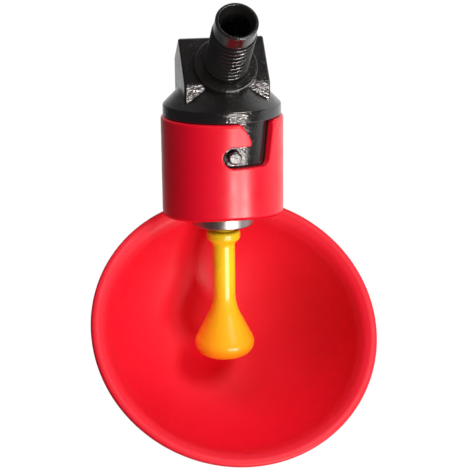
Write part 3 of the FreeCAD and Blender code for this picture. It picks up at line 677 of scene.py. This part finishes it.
def tube_parts():
    """Ring at the tube's root, plain end, mouth and bore; the thread's skin fills the gap."""
    ring_radius, ring_foot = 8.7, -16.0
    plain_top = THREAD_HALF + 4.2
    mouth_radius, mouth_foot = 4.9, plain_top - 2.6
    bore_radius, bore_foot = 3.9, -17.0
    ring = rounded_path([
        (0.0, ring_foot),
        (ring_radius, ring_foot),
        (ring_radius, -THREAD_HALF, 0.45),
        (THREAD_NECK, -THREAD_HALF),
    ])
    end = rounded_path([
        (PLAIN_RADIUS, THREAD_HALF),
        (PLAIN_RADIUS, plain_top, 0.5),
        (mouth_radius, plain_top, 0.2),
        (bore_radius, mouth_foot, 1.2),
        (bore_radius, bore_foot, 0.5),
        (0.0, bore_foot),
    ])
    return [lathe(ring, "tube"), lathe(end, "tube", TUBE_ROUND), thread_skin()]


def bayonet_pins():
    """Two round pins on the spigot, each a section (r, reach) turned about an axis that points
    outwards at the slot's level: (r sin t, -reach, r cos t), turned by the locked azimuth."""
    pin_radius, pin_foot, pin_end = 1.9, 14.0, COLLAR_RADIUS - 0.4
    azimuth = math.radians(1.8)
    section = rounded_path([(pin_radius, pin_foot), (pin_radius, pin_end, 0.55), (0.0, pin_end)])
    radius, reach = section[:, :1], section[:, 1:]
    turns = full_turn(PIN_ROUND)
    spots = np.stack([radius * np.sin(turns), -reach * np.ones(PIN_ROUND),
                      radius * np.cos(turns) - SLOT_LEVEL], axis=-1).reshape(-1, 3)
    c, s = math.cos(azimuth), math.sin(azimuth)
    spin = np.array([[c, s, 0.0], [-s, c, 0.0], [0.0, 0.0, 1.0]])
    quads = grid_quads(len(section), PIN_ROUND, wrap_columns=True)
    return [(placed(spots @ spin * np.array([side, side, 1.0]), "collar"), quads, None)
            for side in (1.0, -1.0)]


piece("elbow_flange", [lathe(flange_path(), "collar")] + bayonet_pins(), "valve", "body_plastic",
      "valve_body")
piece("elbow_block", [slab(block_outline(), 11.8, 0.6)], "valve", "body_plastic", "valve_body")
piece("inlet_tube", tube_parts(), "valve", "body_plastic", "valve_body")


# Nozzle, pin and trigger

def barrel_path():
    """Closed section (r, z) of the nozzle: seat, chamber round the ball, throat round the valve
    pin, tapered mouth, and the barrel that shows below the collar."""
    chamber, throat, mouth, barrel = 3.6, 2.4, 5.0, 8.6
    throat_top, throat_end, nozzle_end = 26.3, 27.5, 31.3
    return rounded_path([
        (NOZZLE_SEAT, -NOZZLE_TOP, 0.1),
        (chamber, -NOZZLE_TOP, 0.1),
        (chamber, -throat_top, 0.1),
        (throat, -throat_top, 0.1),
        (throat, -throat_end, 0.2),
        (mouth, -nozzle_end, 0.25),
        (barrel, -nozzle_end, 0.5),
        (barrel, -SPIGOT_END, 0.1),
        (NOZZLE_SEAT, -SPIGOT_END, 0.1),
    ], closed=True)


def pin_path():
    """Section (r, z) of the valve pin: dimple under the ball, head with a bevel below, and stem."""
    dimple_depth, dimple_radius = 0.86, 1.9
    head_radius, head_top, head_end, bevel = 2.9, 24.4, 26.0, 0.5
    return rounded_path([
        (0.0, -head_top - dimple_depth),
        (dimple_radius, -head_top, 0.1),
        (head_radius, -head_top, 0.1),
        (head_radius, -head_end + bevel, 0.1),
        (head_radius - bevel, -head_end, 0.1),
        (STEM_RADIUS, -head_end, 0.1),
        (STEM_RADIUS, -STEM_END, 0.1),
        (0.0, -STEM_END),
    ])


def trigger_path():
    """Section (r, z) of the trigger: domed bottom, round lower edge, cone, hollow curve, stem and
    head. The cone is the straight line between the two arcs that end at its angle."""
    bell_radius, bell_round, bell_level, cone_angle = 8.5, 3.8, 66.6, 26.7
    dome_radius, dome_centre = 25.0, 45.85
    neck_radius, neck_bend, neck_end = 3.22, 14.0, 51.9
    head_radius, head_top, head_end, neck_top = 4.78, 33.2, 35.5, 37.1
    cap_radius, cap_top = 3.3, 32.6
    dome = arc(0.0, -dome_centre, dome_radius, -90.0, -79.2, 14)
    edge = arc(bell_radius - bell_round, -bell_level, bell_round, -90.0, cone_angle, 26)
    hollow = arc(neck_radius + neck_bend, -neck_end, neck_bend, 180.0 + cone_angle, 180.0, 18)
    head = rounded_path([
        hollow[-1],
        (neck_radius, -neck_top, 1.6),
        (head_radius, -head_end, 1.2),
        (head_radius, -head_top, 1.2),
        (cap_radius, -head_top, 0.3),
        (cap_radius, -cap_top, 0.3),
        (STEM_RADIUS, -cap_top, 0.1),
        (STEM_RADIUS, -STEM_END),
        (0.0, -STEM_END),
    ])
    return np.concatenate([dome, edge[1:], hollow[:-1], head])


piece("barrel", [lathe(barrel_path(), "collar", closed=True)], "valve", "steel", "nozzle")
piece("pin", [lathe(pin_path(), "collar", 96)], "trigger", "steel", "valve_pin")
piece("lever", [lathe(trigger_path(), "collar")], "trigger", "trigger_plastic", "trigger")

# The pieces inside the valve keep their CAD shapes and take on their materials

INNER = {
    "seal_ring": "rubber",
    "sealing_washer": "rubber",
    "steel_ball": "steel",
    "valve_spring": "steel",
    "plunger": "plunger_plastic",
}
for node, slot in INNER.items():
    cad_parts[node].data.materials.clear()
    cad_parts[node].data.materials.append(MATERIALS[slot])


# Light and camera

def rolled(right, up, angle):
    """The two directions across a view, turned round its axis: right cos + up sin, and up cos -
    right sin."""
    return (right * math.cos(angle) + up * math.sin(angle),
            up * math.cos(angle) - right * math.sin(angle))


# The view that was fitted to the outlines in the photo, and its directions: toward the camera,
# to the right and up. The lamps use them, and the camera itself is rolled a little further

AZIMUTH = math.radians(-24.221)
ELEVATION = math.radians(63.780)
ROLL = math.radians(19.038)
TARGET = Vector((3.353, -33.540, -46.243)) * MM
TOWARD = Vector((
    math.sin(AZIMUTH) * math.cos(ELEVATION),
    -math.cos(AZIMUTH) * math.cos(ELEVATION),
    math.sin(ELEVATION),
))
LEVEL = Vector((math.cos(AZIMUTH), math.sin(AZIMUTH), 0.0))
RIGHT, UP = rolled(LEVEL, TOWARD.cross(LEVEL), ROLL)
CAMERA_ROLL = math.radians(-0.595)
CAMERA_DISTANCE = 410.93 * MM
CAMERA_LENS = 110.85
LAMP_DISTANCE = 600.0 * MM
WARM = (1.0, 0.92, 0.89)

# How bright the surroundings are, where the white that the camera sees is 1

ROOM_LIGHT = 0.32  # as light on the object
ROOM_SHINE = 0.05  # in reflections of the camera's side
LEFT_SHARE = 0.07  # what stays of the light and the shine on the far left


def set_world():
    """White surroundings, which the camera sees as plain white. Their light on the object is
    weaker and fades to the left. Reflections show them behind the object, but little of them on
    the camera's side, and they fade to the left too."""
    world = bpy.data.worlds.new("studio")
    bpy.context.scene.world = world
    world.use_nodes = True
    tree = world.node_tree
    tree.nodes.clear()
    way = add(tree, "ShaderNodeTexCoord").outputs["Generated"]
    facing = add(tree, "ShaderNodeVectorMath", DOT_PRODUCT, _0=way, _1=tuple(TOWARD))
    across = add(tree, "ShaderNodeVectorMath", DOT_PRODUCT, _0=way, _1=tuple(RIGHT))
    front = add(tree, "ShaderNodeMapRange", SMOOTHSTEP, Value=facing.outputs["Value"],
                From_Min=-0.2, From_Max=0.35)
    left = add(tree, "ShaderNodeMapRange", SMOOTHSTEP, Value=across.outputs["Value"],
               From_Min=-0.8, From_Max=0.0, To_Min=LEFT_SHARE, To_Max=1.0)
    soft = add(tree, "ShaderNodeMath", {"operation": "MULTIPLY"}, _0=left.outputs[0], _1=ROOM_LIGHT)
    shiny = add(tree, "ShaderNodeMix", FLOAT, _0=front.outputs[0], _2=left.outputs[0], _3=ROOM_SHINE)
    ray = add(tree, "ShaderNodeLightPath")
    hidden = add(tree, "ShaderNodeMix", FLOAT,
                 _0=ray.outputs["Is Glossy Ray"], _2=soft.outputs[0], _3=shiny.outputs[0])
    level = add(tree, "ShaderNodeMix", FLOAT,
                _0=ray.outputs["Is Camera Ray"], _2=hidden.outputs[0], _3=1.0)
    light = add(tree, "ShaderNodeBackground", Color=(1.0, 1.0, 1.0, 1.0), Strength=level.outputs[0])
    add(tree, "ShaderNodeOutputWorld", Surface=light.outputs[0])


def lamp(name, right, up, toward, width, height, share, colour=(1.0, 1.0, 1.0),
         light=True, glint=True):
    """A soft box, so many millimetres wide and high, that adds share of full daylight to a
    surface that faces it: its power is share times pi squared times its distance squared.
    Without light it shows in reflections alone and casts no hard shadow. Without glint it shows
    in none, and lays no veil on the plastic."""
    way = (RIGHT * right + UP * up + TOWARD * toward).normalized()
    data = bpy.data.lights.new(name, "AREA")
    data.shape = "RECTANGLE"
    data.size, data.size_y = width * MM, height * MM
    data.energy = share * math.pi ** 2 * LAMP_DISTANCE ** 2
    data.color = colour
    box = bpy.data.objects.new(name, data)
    box.location = TARGET + way * LAMP_DISTANCE
    box.rotation_mode = "QUATERNION"
    box.rotation_quaternion = way.to_track_quat("Z", "Y")
    box.visible_diffuse, box.visible_glossy = light, glint
    bpy.context.scene.collection.objects.link(box)


def set_camera():
    """The photo's camera, at its distance from the target along the view's axis."""
    data = bpy.data.cameras.new("camera")
    data.sensor_width = 36.0
    data.lens = CAMERA_LENS
    data.clip_start, data.clip_end = 0.01, 10.0
    camera = bpy.data.objects.new("camera", data)
    axes = Matrix((*rolled(RIGHT, UP, CAMERA_ROLL), TOWARD)).transposed()
    camera.matrix_world = Matrix.Translation(TARGET + TOWARD * CAMERA_DISTANCE) @ axes.to_4x4()
    bpy.context.scene.collection.objects.link(camera)
    bpy.context.scene.camera = camera


set_world()
lamp("key", 0.5, 0.5, 0.7, 220, 220, 0.46, (1.0, 0.985, 0.96))
lamp("low", 0.52, -0.48, 0.7, 340, 300, 0.72, (1.0, 0.95, 0.93), glint=False)
lamp("low glint", 0.64, -0.5, 0.59, 100, 100, 0.52, WARM, light=False)
lamp("front glint", 0.36, -0.5, 0.79, 75, 60, 0.34, WARM, light=False)
lamp("fill", -0.3, 0.8, 0.52, 300, 300, 0.26, glint=False)
set_camera()
bpy.context.scene.view_settings.view_transform = "Standard"
